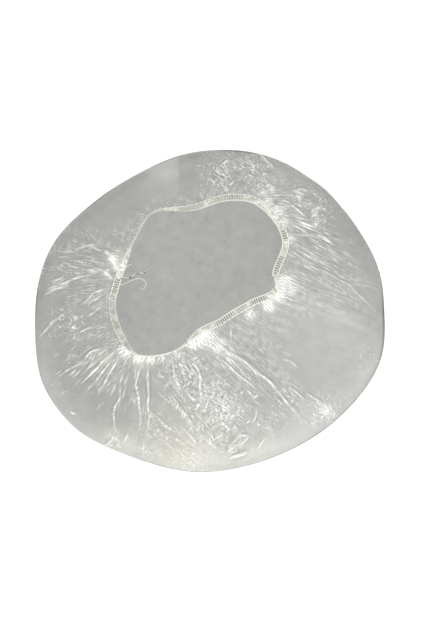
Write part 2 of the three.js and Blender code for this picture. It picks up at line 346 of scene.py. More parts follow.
def smooth_line(points, share, closed):
    """Points at shares of a smooth line through points.

    Between two of its points the line is a cubic. Its slope at each point follows from the points before
    and after it, weighed by the square roots of their distances.
    """
    points = np.array(points, float)
    if not closed:
        points = np.vstack([2 * points[0] - points[1], points, 2 * points[-1] - points[-2]])
    count = len(points)
    place = np.mod(share, 1) * count if closed else 1 + np.clip(share, 0, 1 - 1e-9) * (count - 3)
    first = np.floor(place).astype(int)
    rest = (place - first)[..., None]
    before, here, there, beyond = (points[(first + k) % count] for k in (-1, 0, 1, 2))
    steps = (here - before, there - here, beyond - there)
    behind, own, ahead = (np.sqrt(np.linalg.norm(step, axis=-1, keepdims=True)) for step in steps)
    leave = own * (steps[0] / behind - (there - before) / (behind + own) + steps[1] / own)
    arrive = own * (steps[1] / own - (beyond - here) / (own + ahead) + steps[2] / ahead)
    bend = 3 * steps[1] - 2 * leave - arrive + rest * (leave + arrive - 2 * steps[1])
    return here + rest * (leave + rest * bend)


def outline(shape, low, high, turn):
    """Points at shares of a turn of a closed outline through a shape's points.

    It is stretched to span low to high.
    """
    whole = smooth_line(shape, np.linspace(0, 1, OUTLINE_STEPS), True)
    share = (smooth_line(shape, turn, True) - whole.min(0)) / np.ptp(whole, axis=0)
    return low[:2] + share * (high - low)[:2]


def rim_outline(turn):
    """The film's fold at the rim, where the cap is widest."""
    return outline(RIM_SHAPE, rim_low, rim_high, turn)


def hem_outline(turn):
    """The middle line of the elastic round the opening."""
    half = ELASTIC_WIDTH / 2
    return outline(HEM_SHAPE, band_low + half, band_high - half, turn)


# The hem's length, walked along its outline in small steps
hem_turns = np.linspace(0, 1, HEM_STEPS + 1)
hem_steps = np.diff(hem_outline(hem_turns), axis=0, prepend=[hem_outline(0.0)])
hem_walk = np.cumsum(np.linalg.norm(hem_steps, axis=1))
HEM_LENGTH = hem_walk[-1]
SPLICE_REACH = SPLICE_LENGTH / 2 / HEM_LENGTH


def hem_turn(share):
    """The hem outline's parameter at shares of its length."""
    whole = np.floor(share)
    return whole + np.interp(share - whole, hem_walk / HEM_LENGTH, hem_turns)


SPLICE_TURN = hem_turn(SPLICE_PLACE)


def bells(turn, stretches, power):
    """Bell-shaped stretches round the cap, summed: each has a place, a spread and a height.

    A bell is e to the minus a power of the distance from its place over its spread.
    """
    total = 0
    for place, spread, height in stretches:
        away = np.mod(turn - place + 0.5, 1) - 0.5
        total = total + height * np.exp(-((away / spread) ** power))
    return total


def hem_roll(turn):
    """How far the hem has rolled over, inner edge down: a little all round and more in flat-topped bells."""
    return np.radians(BASE_ROLL + bells(turn, HEM_ROLLS, 4))


def gather_slant(turn):
    """How far round the cap the gathers run aslant between the hem and the rim."""
    return bells(turn, GATHER_SLANTS, 2)


def plain_stretch(turn):
    """How plain the seam lies, with no painted shade showing in the gaps of its ladder: 1 away from the
    ladder's zones.
    """
    return 1 - ease(zone(hem_outline(turn), LADDER), 0.3, 0.6)


def dull_stretch(turn):
    """How much darker the seam is drawn: 1 in its dull zones, up the top and the left of the opening."""
    return np.minimum(zone(hem_outline(turn), DULL), 1)


def hem_wave(turn):
    """How far the hem rises and dips: two waves round the opening, level at the splice."""
    from_splice = turn - SPLICE_TURN
    waves = sum(tall * np.sin(2 * np.pi * crests * from_splice + phase) for crests, tall, phase in HEM_WAVES)
    return waves * np.sin(np.pi * from_splice) ** 2 * MM


def hem_ahead(turn):
    """The way ahead along the hem outline, from a small step before a place to a small step after it."""
    return unit(hem_outline(turn + HEM_STEP) - hem_outline(turn - HEM_STEP))


def seam(turn, out, up):
    """Points of the seam: out from the elastic's middle line and up from its underside, rolled with it."""
    ahead = hem_ahead(turn)
    outward = np.stack([ahead[..., 1], -ahead[..., 0]], -1)
    roll = hem_roll(turn)
    level = out * np.cos(roll) - up * np.sin(roll)
    rise = out * np.sin(roll) + up * np.cos(roll)
    plan = hem_outline(turn) + outward * level[..., None]
    return np.concatenate([plan, (SEAM_Z + hem_wave(turn) + rise)[..., None]], -1)


def grid_faces(rows, columns, loop_rows, loop_columns, start=0):
    """Four-sided faces of a grid of points, counted row by row. Either way the grid may close on itself."""
    row = np.arange(rows if loop_rows else rows - 1)[:, None]
    column = np.arange(columns if loop_columns else columns - 1)[None, :]
    next_row = (row + 1) % rows
    next_column = (column + 1) % columns
    corners = ((row, column), (row, next_column), (next_row, next_column), (next_row, column))
    faces = np.stack(np.broadcast_arrays(*(r * columns + c for r, c in corners)), -1)
    return (start + faces.reshape(-1, 4)).tolist()


def strip_faces(rings, sides, start=0):
    """Faces of a closed strip of rings, each end closed by one flat face."""
    last = start + (rings - 1) * sides
    ends = [list(range(start + sides - 1, start - 1, -1)), list(range(last, last + sides))]
    return grid_faces(rings, sides, False, True, start) + ends


def add_piece(name, points, faces, material, values=None):
    """A mesh object with smooth faces and, for each of values, a number or a vector at every point."""
    mesh = bpy.data.meshes.new(name)
    mesh.from_pydata(points.reshape(-1, 3).tolist(), [], faces)
    for key, value in (values or {}).items():
        numbers = np.asarray(value, np.float32).ravel()
        if len(numbers) == len(mesh.vertices):
            mesh.attributes.new(key, "FLOAT", "POINT").data.foreach_set("value", numbers)
        else:
            mesh.attributes.new(key, "FLOAT_VECTOR", "POINT").data.foreach_set("vector", numbers)
    mesh.shade_smooth()
    mesh.materials.append(material)
    piece = bpy.data.objects.new(name, mesh)
    bpy.context.collection.objects.link(piece)
    return piece


def tube(path, radius, sides, lean, closed, start=0):
    """A round tube: rings of points square to a path, each begun on the side that lean points to.

    Its radius is one number, or one for each ring. An open tube's ends are closed by one flat face each.
    Gives the points and the faces.
    """
    if closed:
        ahead = unit(np.roll(path, -1, 0) - np.roll(path, 1, 0))
    else:
        ahead = unit(np.gradient(path, axis=0))
    aside = unit(np.cross(ahead, lean))
    over = np.cross(aside, ahead)
    angle = 2 * np.pi * np.arange(sides) / sides
    spokes = np.cos(angle)[None, :, None] * over[:, None] - np.sin(angle)[None, :, None] * aside[:, None]
    rings = path[:, None] + np.reshape(radius, (-1, 1, 1)) * spokes
    if closed:
        faces = grid_faces(len(path), sides, True, True, start)
    else:
        faces = strip_faces(len(path), sides, start)
    return rings.reshape(-1, 3), faces


def linear(colour):
    """A colour written as sRGB hex, in linear light."""
    channels = np.array([int(colour[k : k + 2], 16) / 255 for k in (1, 3, 5)])
    low = channels / 12.92
    high = ((channels + 0.055) / 1.055) ** 2.4
    return (*np.where(channels <= 0.04045, low, high).tolist(), 1.0)


def add_node(tree, kind, inputs=None, **settings):
    """A shader node with its settings. inputs gives a socket its number or the output it is linked to."""
    node = tree.nodes.new(kind)
    for name, value in settings.items():
        setattr(node, name, value)
    for name, value in (inputs or {}).items():
        if isinstance(value, bpy.types.NodeSocket):
            tree.links.new(value, node.inputs[name])
        else:
            node.inputs[name].default_value = value
    return node


def new_material(name):
    """An empty node material, with its tree and its output node."""
    material = bpy.data.materials.new(name)
    material.use_nodes = True
    tree = material.node_tree
    tree.nodes.clear()
    return material, tree, add_node(tree, "ShaderNodeOutputMaterial")


def spun_polyester():
    """Spun polyester sewing thread: cream-white and matt, unevenly twisted, darkened by painted shade and in
    the seam's dull zones.
    """
    material, tree, output = new_material("spun_polyester")
    place = add_node(tree, "ShaderNodeTexCoord").outputs["Object"]
    twist = add_node(tree, "ShaderNodeTexNoise", {"Vector": place, "Scale": 1 / (0.9 * MM), "Detail": 3})
    worn = add_node(tree, "ShaderNodeMix", data_type="RGBA", inputs={
        0: twist.outputs["Fac"], 6: linear("#F2F1E8"), 7: linear("#FFFFFA")})
    # Painted shade where threads touch, cross or turn from the light, and the seam's dull zones, darken the
    # thread towards this grey
    shade_and_dulling = add_node(tree, "ShaderNodeAttribute", attribute_name="shade_and_dulling")
    shaded = add_node(tree, "ShaderNodeMix", data_type="RGBA", inputs={
        0: shade_and_dulling.outputs["Fac"], 6: worn.outputs[2], 7: linear("#3A3934")})
    bump = add_node(tree, "ShaderNodeBump", {
        "Height": twist.outputs["Fac"], "Strength": 0.5, "Distance": 0.12 * MM})
    shader = add_node(tree, "ShaderNodeBsdfPrincipled", {
        "Base Color": shaded.outputs[2], "Roughness": 0.7, "IOR": 1.54, "Sheen Weight": 0.3,
        "Normal": bump.outputs["Normal"]})
    tree.links.new(shader.outputs["BSDF"], output.inputs["Surface"])
    return material


def elastic_rubber():
    """Natural-rubber elastic tape: dull cream, matt and grainy, darkened by painted shade as it looks between
    threads.

    Where the seam lies plain, film covers the tape and makes it paler, in patches.
    """
    material, tree, output = new_material("elastic_rubber")
    place = add_node(tree, "ShaderNodeTexCoord").outputs["Object"]
    grain = add_node(tree, "ShaderNodeTexNoise", {"Vector": place, "Scale": 1 / (1.5 * MM), "Detail": 4})
    # The tape's dull cream is darkened by painted shade, as it looks between the seam's threads
    tint = add_node(tree, "ShaderNodeMix", data_type="RGBA", inputs={
        0: grain.outputs["Fac"], 6: linear("#86857B"), 7: linear("#A19F95")})
    plain = add_node(tree, "ShaderNodeAttribute", attribute_name="plain")
    patches = add_node(tree, "ShaderNodeTexNoise", {"Vector": place, "Scale": 1 / (3 * MM), "Detail": 2})
    thick = add_node(tree, "ShaderNodeMapRange", {
        "Value": patches.outputs["Fac"], "From Min": 0.4, "From Max": 0.6})
    cover = add_node(tree, "ShaderNodeMix", data_type="RGBA", inputs={
        0: thick.outputs["Result"], 6: linear("#BEBEB2"), 7: linear("#FAFAF2")})
    covered = add_node(tree, "ShaderNodeMix", data_type="RGBA", inputs={
        0: plain.outputs["Fac"], 6: tint.outputs[2], 7: cover.outputs[2]})
    bump = add_node(tree, "ShaderNodeBump", {
        "Height": grain.outputs["Fac"], "Strength": 0.4, "Distance": 0.1 * MM})
    shader = add_node(tree, "ShaderNodeBsdfPrincipled", {
        "Base Color": covered.outputs[2], "Roughness": 0.6, "IOR": 1.52, "Normal": bump.outputs["Normal"]})
    tree.links.new(shader.outputs["BSDF"], output.inputs["Surface"])
    return material


def fine_creases(tree, place, mottle):
    """Creases finer than the mesh: the high and the low places of a noise.

    Where the film is streaked, the noise is stretched along the gathers. Where it is crumpled, two noises
    are stretched across each other, patch by patch. Gives the noise, how bright its high places are, as
    painted glints and stress whitening, and how dark its low ones, as painted shade.
    """
    lie = add_node(tree, "ShaderNodeAttribute", attribute_name="lie").outputs["Vector"]
    streaks = add_node(tree, "ShaderNodeTexNoise", {
        "Vector": lie, "Scale": 1 / STREAK_SIZE, "Detail": 1.5}).outputs["Fac"]
    crossing = []
    for degrees in CRUMPLE_HEADINGS:
        turned = add_node(tree, "ShaderNodeMapping", vector_type="TEXTURE", inputs={
            "Vector": place, "Rotation": (0, 0, np.radians(degrees)), "Scale": (CRUMPLE_STRETCH, 1, 1)})
        crossing.append(add_node(tree, "ShaderNodeTexNoise", {
            "Vector": turned.outputs["Vector"], "Scale": 1 / CRUMPLE_SIZE, "Detail": 2.5,
            "Distortion": 1.1}).outputs["Fac"])
    patch = add_node(tree, "ShaderNodeMapRange", {"Value": mottle, "From Min": 0.5, "From Max": 0.58})
    crumple = add_node(tree, "ShaderNodeMix", {
        0: patch.outputs["Result"], 2: crossing[0], 3: crossing[1]}).outputs[0]
    crumpled = add_node(tree, "ShaderNodeAttribute", attribute_name="crumpled").outputs["Fac"]
    fine = add_node(tree, "ShaderNodeMix", {0: crumpled, 2: streaks, 3: crumple}).outputs[0]

    high = add_node(tree, "ShaderNodeAttribute", attribute_name="crease_level").outputs["Fac"]
    highest = add_node(tree, "ShaderNodeMath", {0: high, 1: CREASE_RAMP}, operation="ADD").outputs[0]
    bright = add_node(tree, "ShaderNodeMapRange", {
        "Value": fine, "From Min": high, "From Max": highest}).outputs["Result"]
    low = add_node(tree, "ShaderNodeMath", {0: 1.0, 1: high}, operation="SUBTRACT").outputs[0]
    lowest = add_node(tree, "ShaderNodeMath", {0: 1.0, 1: highest}, operation="SUBTRACT").outputs[0]
    dark = add_node(tree, "ShaderNodeMapRange", {
        "Value": fine, "From Min": low, "From Max": lowest, "To Max": 0.5}).outputs["Result"]
    return fine, bright, dark


def fold_lines(tree):
    """Folds of the mesh: how white the crest of each is, a painted glint and partly stress whitening, and how
    dark the hollow along one side of it, painted shade.
    """
    strength = add_node(tree, "ShaderNodeAttribute", attribute_name="fold_strength").outputs["Fac"]
    side = add_node(tree, "ShaderNodeAttribute", attribute_name="fold_side").outputs["Fac"]
    off_crest = add_node(tree, "ShaderNodeMath", {0: side}, operation="ABSOLUTE").outputs[0]
    crest_line = add_node(tree, "ShaderNodeMapRange", {
        "Value": off_crest, "From Min": 1.0, "From Max": 0.4, "To Max": strength}).outputs["Result"]
    beside = add_node(tree, "ShaderNodeMath", operation="COMPARE", inputs={
        0: side, 1: HOLLOW_SIDE, 2: HOLLOW_REACH}).outputs[0]
    hollow = add_node(tree, "ShaderNodeMath", {0: beside, 1: strength}, operation="MULTIPLY").outputs[0]
    hollow = add_node(tree, "ShaderNodeMath", {0: hollow, 1: HOLLOW_SHADE}, operation="MULTIPLY").outputs[0]
    return crest_line, hollow


def polyethylene_film(name, opacity, creased):
    """Blown low-density polyethylene film: clear and greyish where it lies flat, milky where it is gathered.

    Its tint is kept at the points of the mesh. Creased, it turns white and less clear along its creases and
    folds, as painted glints and stress whitening, and in its milky bunches; painted shade darkens it beside
    them.
    """
    material, tree, output = new_material(name)
    place = add_node(tree, "ShaderNodeTexCoord").outputs["Object"]
    tint = add_node(tree, "ShaderNodeAttribute", attribute_name="tint").outputs["Color"]
    mottle = add_node(tree, "ShaderNodeTexNoise", {
        "Vector": place, "Scale": 1 / (9 * MM), "Detail": 2}).outputs["Fac"]
    haze = add_node(tree, "ShaderNodeMapRange", {
        "Value": mottle, "From Min": 0.3, "From Max": 0.7, "To Max": 0.1 if creased else 0.06})
    colour = add_node(tree, "ShaderNodeMix", data_type="RGBA", inputs={
        0: haze.outputs["Result"], 6: tint, 7: linear(GLINT_CREASE_AND_HAZE_WHITE)}).outputs[2]
    relief = mottle
    if creased:
        fine, bright, dark = fine_creases(tree, place, mottle)
        crest_line, hollow = fold_lines(tree)
        crest = add_node(tree, "ShaderNodeAttribute", attribute_name="crest").outputs["Fac"]
        # White: painted glints, partly stress whitening, on creases, fold crests and mesh crests, and milky
        # bunches. Shade: painted shade beside them
        white = add_node(tree, "ShaderNodeMath", {0: bright, 1: crest_line}, operation="MAXIMUM").outputs[0]
        white = add_node(tree, "ShaderNodeMath", {0: white, 1: crest}, operation="MAXIMUM").outputs[0]
        shade = add_node(tree, "ShaderNodeMath", {0: dark, 1: hollow}, operation="MAXIMUM").outputs[0]
        colour = add_node(tree, "ShaderNodeMix", data_type="RGBA", inputs={
            0: white, 6: colour, 7: linear(GLINT_CREASE_AND_HAZE_WHITE)}).outputs[2]
        colour = add_node(tree, "ShaderNodeMix", data_type="RGBA", inputs={
            0: shade, 6: colour, 7: linear(PAINTED_SHADE_GREY)}).outputs[2]
        opacity = add_node(tree, "ShaderNodeMapRange", {
            "Value": white, "To Min": opacity, "To Max": 0.92}).outputs["Result"]
        relief = add_node(tree, "ShaderNodeMath", {0: fine, 1: white}, operation="ADD").outputs[0]
    gloss = add_node(tree, "ShaderNodeMapRange", {"Value": mottle, "To Min": 0.2, "To Max": 0.42})
    bump = add_node(tree, "ShaderNodeBump", {
        "Height": relief, "Strength": 0.25 if creased else 0.04, "Distance": 0.4 * MM})
    shader = add_node(tree, "ShaderNodeBsdfPrincipled", {
        "Base Color": colour, "Roughness": gloss.outputs["Result"], "IOR": 1.51, "Alpha": opacity,
        "Normal": bump.outputs["Normal"]})
    tree.links.new(shader.outputs["BSDF"], output.inputs["Surface"])
    return material


def tinted(tint, colour, share):
    """Tints in linear light, mixed with a colour by shares."""
    return tint + (np.array(linear(colour)[:3]) - tint) * np.asarray(share)[..., None]


def ripples(place, length, seed, count=9):
    """Smooth random heights of about 1 each way: cosine waves about one length long, in random directions."""
    draw = np.random.default_rng(seed)
    heading = draw.uniform(0, 2 * np.pi, count)
    rate = 2 * np.pi / (length * draw.uniform(0.7, 1.5, count))
    phase = draw.uniform(0, 2 * np.pi, count)
    across = place[..., :2] @ np.array([np.cos(heading), np.sin(heading)])
    return np.cos(across * rate + phase).sum(-1) / np.sqrt(count / 2)


def facets(place, length, seed, count=7):
    """Crumpled film, about 1 each way: triangle waves in random directions, bent by ripples.

    Flat facets meet in sharp creases where a wave turns.
    """
    draw = np.random.default_rng(seed)
    heading = draw.uniform(0, 2 * np.pi, count)
    rate = 1 / (length * draw.uniform(0.7, 1.6, count))
    phase = draw.uniform(0, 1, count)
    sway = [ripples(place, 3 * length, seed + k) for k in (1, 2)]
    bent = place[..., :2] + 0.35 * length * np.stack(sway, -1)
    across = bent @ np.array([np.cos(heading), np.sin(heading)]) * rate + phase
    wave = 4 * np.abs(across - np.round(across)) - 1
    return wave.sum(-1) / np.sqrt(count)


def swell(turn, climb, crests, slant, seed, count=12):
    """Smooth random numbers of about 1 each way, which close on themselves round the cap.

    Cosine waves with whole numbers of crests round the cap, each a little aslant, are summed.
    """
    draw = np.random.default_rng(seed)
    total = 0
    for _ in range(count):
        number = draw.integers(int(0.5 * crests), int(1.5 * crests) + 1)
        lean = draw.uniform(-slant, slant)
        total = total + np.cos(2 * np.pi * (number * turn + lean * climb + draw.uniform()))
    return total / np.sqrt(count / 2)


def pleats(turn, climb, crests, seed):
    """Pleats from the hem towards the rim, from 0 to 1, with sharp crests and hollow sides.

    A triangle wave round the cap, to the power 1.5. A swell pushes its crests together and apart.
    """
    push = 0.035 * crests * swell(turn, climb, 9, 1.2, seed) + 0.3 * swell(turn, climb, 40, 3, seed + 50)
    phase = crests * turn + push
    return (1 - 2 * np.abs(phase - np.floor(phase) - 0.5)) ** 1.5


def zone(place, spots):
    """How strongly a zone's round spots cover points of the plan: each fades as a bell curve."""
    strength = np.zeros(place.shape[:-1])
    for across, down, radius, most in spots:
        away = np.linalg.norm(place[..., :2] - spot(across, down), axis=-1) / (radius * PIXEL)
        strength = np.maximum(strength, most * np.exp(-(away**2)))
    return strength


def near_side(place):
    """How far points lie towards the lower edge of the photograph, where the rim has painted sheen and
    lighter painted shade: 0 to 1.
    """
    return 1 - ease(place[..., 1], NEAR_RIM_Y, FAR_RIM_Y)


def folds(place):
    """The folds: tents along lines of points, highest in the middle of a line and fading to its ends.

    Gives their height, and for the nearest fold how far a point lies to one side of its crest, counted in
    FOLD_LINE or more for a tall fold, and how strong it is there.
    """
    sway = np.stack([ripples(place, FOLD_SWAY_LENGTH, seed) for seed in (71, 72)], -1)
    bent = place[..., :2] + FOLD_SWAY * sway
    height = np.zeros(place.shape[:-1])
    strength = np.zeros(place.shape[:-1])
    closest = np.full(place.shape[:-1], 1.0)
    side = np.zeros(place.shape[:-1])
    for tall, *points in FOLDS:
        line = np.array([spot(*point) for point in points])
        spans = np.linalg.norm(np.diff(line, axis=0), axis=1)
        starts = np.concatenate([[0], np.cumsum(spans)])
        nearest = np.full(height.shape, 1.0)
        along = np.zeros(height.shape)
        left = np.zeros(height.shape)
        for corner, onward, span, start in zip(line[:-1], line[1:], spans, starts):
            ahead = (onward - corner) / span
            reach = np.clip((bent - corner) @ ahead, 0, span)
            offset = bent - corner - reach[..., None] * ahead
            away = np.linalg.norm(offset, axis=-1)
            along = np.where(away < nearest, start + reach, along)
            left = np.where(away < nearest, ahead[0] * offset[..., 1] - ahead[1] * offset[..., 0], left)
            nearest = np.minimum(nearest, away)
        taper = np.abs(np.sin(np.pi * along / starts[-1])) ** 0.6
        tent = np.clip(1 - nearest / (FOLD_SPREAD * tall * MM), 0, 1)
        height = np.maximum(height, tall * MM * taper * tent)
        line_width = FOLD_LINE * max(1, tall / 1.3)
        bright = np.clip(tall / 1.1, 0, 1) * taper * (1 - ease(nearest, 2 * line_width, 4 * line_width))
        strength = np.where(nearest < closest, bright, strength)
        side = np.where(nearest < closest, np.copysign(nearest, left) / line_width, side)
        closest = np.minimum(closest, nearest)
    return height, side, strength


def crest_sharpness(height, place):
    """How sharply heights on a grid whose columns go round bend down, from 0, even, to 1, a crest.

    The second differences both ways, each over the square of the grid's step there.
    """
    around = np.linalg.norm(np.roll(place, -1, 1) - place, axis=-1)
    along = np.linalg.norm(np.gradient(place, axis=0), axis=-1)
    bend = (2 * height - np.roll(height, 1, 1) - np.roll(height, -1, 1)) / around**2
    bend[1:-1] += (2 * height[1:-1] - height[:-2] - height[2:]) / along[1:-1] ** 2
    return np.clip((bend - CREST_START) / (CREST_FULL - CREST_START), 0, 1)


def grid_normals(points):
    """The way out of a grid of points whose columns go round, from its slopes both ways."""
    around = np.roll(points, -1, 1) - np.roll(points, 1, 1)
    up = np.gradient(points, axis=0)
    return unit(np.cross(around, up))


def gather_tint(place, climb, milk):
    """The gathers' tint: grey film, whiter by shares of milk, cream in its zone, with painted sheen near the
    rim on the near side and painted shade along the rim.
    """
    near = near_side(place)
    tint = tinted(np.array(linear(FILM_GREY)[:3]), MILK_AND_SHEEN_WHITE, milk)
    tint = tinted(tint, CREAM, 0.75 * zone(place, CREAMY))
    # Painted sheen of the light from below, near the rim on the near side
    tint = tinted(tint, MILK_AND_SHEEN_WHITE, 0.15 * near * (1 - ease(climb, 0.15, 0.5)))
    # Painted shade along the rim, where the film turns edge-on
    tint = tinted(tint, FAR_RIM_SHADE, (1 - near) * (1 - ease(climb, 0.06, 0.12)))
    return tinted(tint, NEAR_RIM_SHADE, near * (1 - ease(climb, 0.03, 0.07)))


def film_gathers(creased, plain):
    """The film from the rim to its edge under the elastic, a closed skin of the film's thickness.

    On its way from rim to hem (climb 0 to 1) it goes inwards by climb squared times (2 - climb) and rises by
    1 - (1 - climb) to a power, which leaves the rim upright and meets the hem level. Wrinkles stand on that
    along its normal.
    """
    turn = np.arange(FILM_COLUMNS)[None, :] / FILM_COLUMNS
    climb = np.linspace(0, 1, FILM_ROWS)[:, None]
    turns, climbs = np.broadcast_arrays(turn, climb)
    # Smooth film from the rim to the hem
    rim = rim_outline(turn + gather_slant(turn))
    start = np.concatenate([rim, np.full(turn.shape + (1,), RIM_Z)], -1)
    end = seam(turn, SEAM_WIDTH / 2, -FILM_UNDER_SEAM)
    inward = (climb**2 * (2 - climb))[..., None]
    rise = 1 - (1 - climb) ** SHOULDER_POWER
    smooth = start + inward * (end - start)
    smooth[..., 2] = RIM_Z + rise * (end - start)[..., 2]

    # Wrinkles, each kind in its zones, which die out right at the rim and at the hem
    bunched = zone(smooth, BUNCHED)
    calm = 1 - zone(smooth, SMOOTH)
    streaked = zone(smooth, STREAKED) * calm
    crumpled = zone(smooth, CRUMPLED) * calm
    by_hem = climbs**6 * (0.2 + 0.8 * calm)
    free = ease(climbs, 0, 0.2) * (1 - climbs**12)
    wide_pleats, middle_pleats, fine_pleats = (
        pleats(turns, climbs, number, 11 + k) for k, number in enumerate(PLEAT_TURNS))
    patchy = np.clip(0.6 + 0.6 * swell(turns, climbs, 24, 2, 15), 0, 1.4)
    crumple = sum(tall * facets(smooth, length, seed) for length, tall, seed in CRUMPLES)
    fold_height, fold_side, fold_strength = folds(smooth)
    height = free * ((
        SWELL_HEIGHT * ripples(smooth, SWELL_LENGTH, 21) * (0.4 + 0.6 * calm)
        + streaked * patchy * (WIDE_PLEAT * wide_pleats + MIDDLE_PLEAT * middle_pleats)
        + by_hem * (HEM_PLEAT * middle_pleats + FINE_PLEAT * fine_pleats)
        + crumpled * crumple
        + bunched * (BUNCH + BUNCH_CRUMPLE * crumple)
    ) * MM + fold_height)
    sheet = smooth + grid_normals(smooth) * height[..., None]
    sheet[..., 2] += HEM_RIPPLE * np.cos(2 * np.pi * HEM_RIPPLES * turns) * climbs**12

    # The film's edge under the elastic, and the skin's other face
    out = np.linspace(SEAM_WIDTH / 2, -ELASTIC_WIDTH / 2, HEM_ROWS + 1)[1:, None]
    edge = seam(np.repeat(turn, HEM_ROWS, 0), out, -FILM_UNDER_SEAM)
    sheet = np.concatenate([sheet, edge])
    inner = sheet - grid_normals(sheet) * FILM_THICKNESS
    skin = np.concatenate([sheet, inner[::-1]]).transpose(1, 0, 2)

    # Looks, kept at the points of the mesh
    glint = np.clip(0.65 + 0.5 * ripples(smooth, 6 * MM, 61), 0, 1)
    packed = 0.95 * ease(bunched * (1 + 0.45 * swell(turns, climbs, 150, 32, 62)), 0.3, 0.65)
    lie_along = 2 * np.pi * LIE_RADIUS * np.mod(turns - LIE_SEAM, 1)
    walked = np.cumsum(np.linalg.norm(np.diff(smooth, axis=0, prepend=smooth[:1]), axis=-1), 0)
    lapped = zone(smooth, LAPPED) * ease(spot(LAP_EDGE, 0)[0] - smooth[..., 0], 0, 1.5 * MM)
    # Lighter zones, partly painted sheen, whiten the tint through the milk
    haze_and_sheen = np.maximum(zone(smooth, HAZE_AND_SHEEN), lapped)
    milk = np.clip(haze_and_sheen + 0.06 * by_hem + 0.35 * bunched, 0, 1)
    creased_share = np.clip(0.1 + np.maximum(streaked, crumpled), 0, 1) * (0.35 + 0.65 * calm)
    values = {
        "tint": gather_tint(smooth, climbs, milk),
        # Crest: painted glints on sharp crests of the mesh, partly stress whitening, and the milky white of
        # bunches
        "crest": np.maximum(0.6 * glint * crest_sharpness(height, smooth), packed),
        "crumpled": ease(crumpled - streaked, -0.2, 0.2),
        "crease_level": 0.68 - 0.2 * creased_share - 0.05 * crumpled,
        "fold_side": fold_side,
        "fold_strength": (0.45 + 0.55 * glint) * fold_strength,
        "hold": climbs,
        "lie": np.stack([lie_along, walked / LIE_STRETCH, np.zeros_like(walked)], -1),
    }
    for key, value in values.items():
        value = np.concatenate([value, np.repeat(value[-1:], HEM_ROWS, 0)])
        values[key] = np.concatenate([value, value[::-1]]).swapaxes(0, 1)
    rows = len(sheet)
    faces = grid_faces(FILM_COLUMNS, 2 * rows, True, True)
    piece = add_piece("gathered_film", skin, faces, creased, values)
    piece.data.materials.append(plain)
    inside = np.tile(np.arange(2 * rows) >= rows - 1, FILM_COLUMNS).astype(np.int32)
    piece.data.polygons.foreach_set("material_index", inside)
    return piece


def film_crown(material):
    """The film of the crown, a closed skin of the film's thickness.

    Its rows are the rim's outline drawn in. They lie on the surface, lifted a little by squared ripples, and
    then turn up to the rim through a quarter of an ellipse.
    """
    turn = np.arange(CROWN_COLUMNS)[None, :] / CROWN_COLUMNS
    rim = rim_outline(turn)
    flat_edge = rim * (1 - RIM_ROLL / np.linalg.norm(rim, axis=-1, keepdims=True))
    reach = np.linspace(0, 1, FLAT_ROWS + 1)[1:, None]
    flat = flat_edge * reach[..., None]
    waves = (tall * (1 + 0.5 * ripples(flat, length, seed)) ** 2 for length, tall, seed in CROWN_WAVES)
    lift = sum(waves, CROWN_LIFT) * MM
    floor = np.concatenate([flat, lift[..., None]], -1)
    lean = np.linspace(0, np.pi / 2, ROLL_ROWS + 1)[1:, None]
    roll = flat_edge + (rim - flat_edge) * np.sin(lean)[..., None]
    height = lift[-1] + (RIM_Z - lift[-1]) * (1 - np.cos(lean))
    wall = np.concatenate([roll, height[..., None]], -1)
    sheet = np.concatenate([floor, wall])
    inside = sheet + grid_normals(sheet[::-1])[::-1] * FILM_THICKNESS
    rows = np.concatenate([sheet, inside[::-1]])
    level = floor[0, :, 2].mean()
    middle = np.array([[0, 0, level], [0, 0, level + FILM_THICKNESS]])
    points = np.concatenate([rows.reshape(-1, 3), middle])
    faces = grid_faces(len(rows), CROWN_COLUMNS, False, True)
    first = np.arange(CROWN_COLUMNS)
    after = (first + 1) % CROWN_COLUMNS
    top = (len(rows) - 1) * CROWN_COLUMNS
    tip = len(rows) * CROWN_COLUMNS
    faces += np.stack([np.full_like(first, tip), after, first], -1).tolist()
    faces += np.stack([np.full_like(first, tip + 1), top + first, top + after], -1).tolist()
    near = near_side(points)
    # Painted sheen of the light from below lightens the crown's wall on the near side
    pale = 0.3 * near * ease(points[:, 2], 0, 0.3 * RIM_Z)
    tint = tinted(np.array(linear(CROWN_GREY)[:3]), MILK_AND_SHEEN_WHITE, pale)
    # Painted shade along the rim, darkest on the far side
    tint = tinted(tint, FAR_RIM_SHADE, (1 - near) * ease(points[:, 2], 0.7 * RIM_Z, 0.95 * RIM_Z))
    tint = tinted(tint, NEAR_RIM_SHADE, near * ease(points[:, 2], 0.85 * RIM_Z, 0.97 * RIM_Z))
    return add_piece("crown_film", points, faces, material, {"tint": tint})


def flat_strip(share, up, out=0.0):
    """Elastic tape along shares of the hem: an oblong section with round corners and three ribs on top.

    The section is the cosine and the sine of an angle, each to a small power, which squares its corners. The
    ribs are a cosine across it.
    """
    angle = 2 * np.pi * (np.arange(STRIP_SIDES) + 0.5) / STRIP_SIDES
    across = np.sign(np.cos(angle)) * np.abs(np.cos(angle)) ** 0.45 * ELASTIC_WIDTH / 2
    thick = np.sign(np.sin(angle)) * np.abs(np.sin(angle)) ** 0.3 * ELASTIC_THICKNESS / 2
    ribs = 0.07 * MM * np.cos(across / ELASTIC_WIDTH * 6 * np.pi) * (np.sin(angle) > 0)
    turn = hem_turn(share)[:, None]
    return seam(
        np.broadcast_to(turn, (len(share), STRIP_SIDES)),
        across[None, :] + np.reshape(out, (-1, 1)),
        (ELASTIC_THICKNESS / 2 + thick + ribs)[None, :] + np.reshape(up, (-1, 1)),
    )


